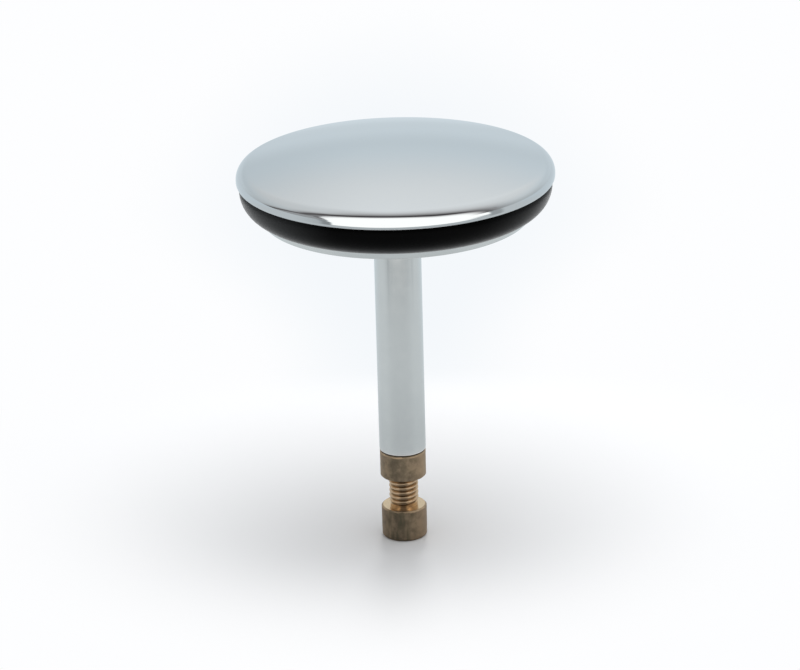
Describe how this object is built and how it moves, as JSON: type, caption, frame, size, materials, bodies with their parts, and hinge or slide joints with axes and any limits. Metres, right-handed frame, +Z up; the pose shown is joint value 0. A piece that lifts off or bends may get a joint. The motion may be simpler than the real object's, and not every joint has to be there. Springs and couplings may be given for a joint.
{
  "type": "pop-up basin waste plug",
  "caption": "Domed round plug with a rubber seal under its rim and a central guide stem that ends in a height-setting screw with a locknut.",
  "frame": {"origin": "centre of the screw head's lower face, on which the plug stands", "axes": "+Z up along the stem to the crown of the cap; +X along the screwdriver slot"},
  "size_m": [0.063, 0.063, 0.0835],
  "materials": {
    "polished_chrome": "mirror-polished chrome plate",
    "satin_plate": "satin nickel-chrome plate",
    "black_rubber": "smooth moulded rubber",
    "aged_brass": "drawn bar, dulled outside and bright where it is machined",
    "turned_brass": "turned"
  },
  "bodies": {
    "screw": {"adjusting_screw": "aged_brass"},
    "nut": {"locknut": "aged_brass"},
    "plug": {"cap": "polished_chrome", "cap_boss": "turned_brass", "seal": "black_rubber", "retaining_disc": "satin_plate", "stem": "satin_plate"}
  },
  "joints": [
    {"name": "height_setting", "type": "slide", "parent": "screw", "child": "nut", "axis": [0, 0, 1], "range_m": [-0.0065, 0.01]},
    {"name": "locknut_release", "type": "slide", "parent": "nut", "child": "plug", "axis": [0, 0, 1], "range_m": [0, 0.006]}
  ]
}
